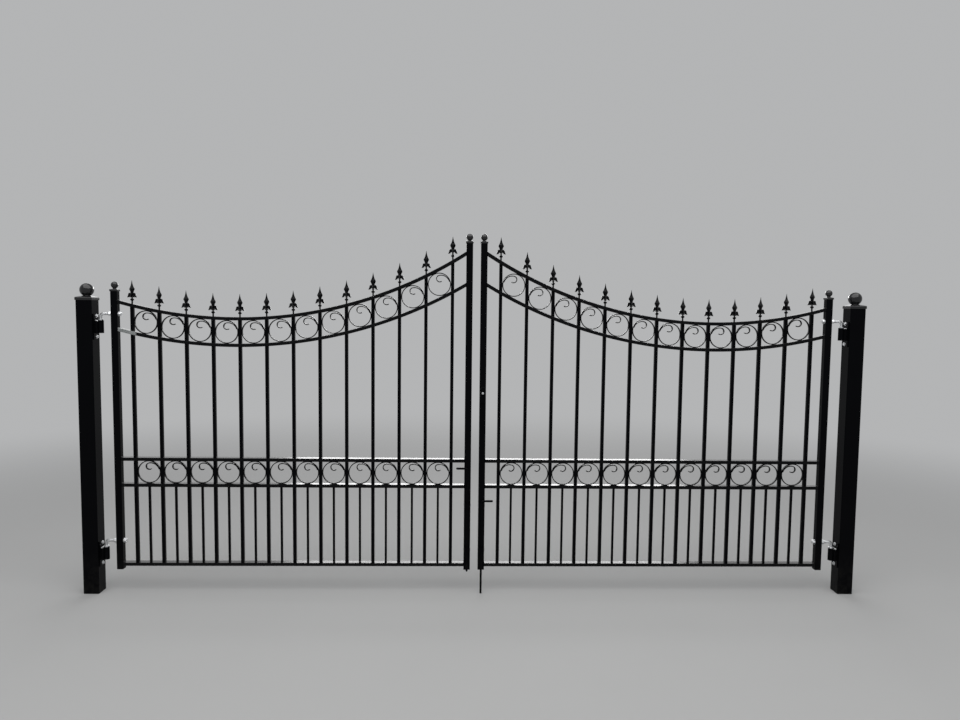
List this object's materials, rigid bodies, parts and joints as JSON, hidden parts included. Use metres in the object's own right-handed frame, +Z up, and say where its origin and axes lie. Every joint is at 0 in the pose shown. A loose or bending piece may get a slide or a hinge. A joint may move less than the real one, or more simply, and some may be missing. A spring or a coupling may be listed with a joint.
{
  "type": "double-leaf wrought iron driveway gate",
  "caption": "Wrought iron driveway gate: a pair of arched, scroll-banded, spear-topped leaves hung on square posts, with drop rods and a surface lock.",
  "frame": {"origin": "centre of the left hinge post's foot, at ground level", "axes": "+X along the gateway to the right post, +Y away from the side that carries the drop rods and the lock, +Z up"},
  "size_m": [4.5401, 0.096, 2.1709],
  "materials": {
    "black_powder_coat": "gloss black powder coat on steel tube, bar and channel",
    "black_cast_iron": "black coat over cast iron, slightly softer gloss",
    "zinc_steel": "bright zinc-plated steel"
  },
  "bodies": {
    "posts": {"left_post": "black_powder_coat", "left_post_cap": "black_cast_iron", "left_upper_hinge_box": "black_powder_coat", "left_lower_hinge_box": "black_powder_coat", "right_post": "black_powder_coat", "right_post_cap": "black_cast_iron", "right_upper_hinge_box": "black_powder_coat", "right_lower_hinge_box": "black_powder_coat"},
    "left_leaf": {"left_hinge_stile": "black_powder_coat", "left_meeting_stile": "black_powder_coat", "left_stile_caps": "black_cast_iron", "left_top_rail": "black_powder_coat", "left_second_rail": "black_powder_coat", "left_upper_mid_rail": "black_powder_coat", "left_lower_mid_rail": "black_powder_coat", "left_bottom_rail": "black_powder_coat", "left_pickets": "black_powder_coat", "left_puppy_pickets": "black_powder_coat", "left_finials": "black_cast_iron", "left_arch_scrolls": "black_powder_coat", "left_mid_scrolls": "black_powder_coat", "left_upper_hinge_bolt": "zinc_steel", "left_lower_hinge_bolt": "zinc_steel", "left_hinge_nuts": "zinc_steel", "left_rod_guides": "black_powder_coat"},
    "left_drop_rod": {"left_drop_rod": "black_powder_coat"},
    "right_leaf": {"right_hinge_stile": "black_powder_coat", "right_meeting_stile": "black_powder_coat", "right_stile_caps": "black_cast_iron", "right_top_rail": "black_powder_coat", "right_second_rail": "black_powder_coat", "right_upper_mid_rail": "black_powder_coat", "right_lower_mid_rail": "black_powder_coat", "right_bottom_rail": "black_powder_coat", "right_pickets": "black_powder_coat", "right_puppy_pickets": "black_powder_coat", "right_finials": "black_cast_iron", "right_arch_scrolls": "black_powder_coat", "right_mid_scrolls": "black_powder_coat", "right_upper_hinge_bolt": "zinc_steel", "right_lower_hinge_bolt": "zinc_steel", "right_hinge_nuts": "zinc_steel", "right_rod_guides": "black_powder_coat", "right_lock": "black_powder_coat"},
    "right_drop_rod": {"right_drop_rod": "black_powder_coat"}
  },
  "joints": [
    {"name": "left_leaf_swing", "type": "hinge", "parent": "posts", "child": "left_leaf", "pos_m": [0.075, 0, 0.9], "axis": [0, 0, -1], "range_deg": [0, 100]},
    {"name": "right_leaf_swing", "type": "hinge", "parent": "posts", "child": "right_leaf", "pos_m": [4.3691, 0, 0.9], "axis": [0, 0, 1], "range_deg": [0, 100]},
    {"name": "left_drop_rod_slide", "type": "slide", "parent": "left_leaf", "child": "left_drop_rod", "axis": [0, 0, 1], "range_m": [-0.193, 0]},
    {"name": "right_drop_rod_slide", "type": "slide", "parent": "right_leaf", "child": "right_drop_rod", "axis": [0, 0, 1], "range_m": [0, 0.193]}
  ]
}
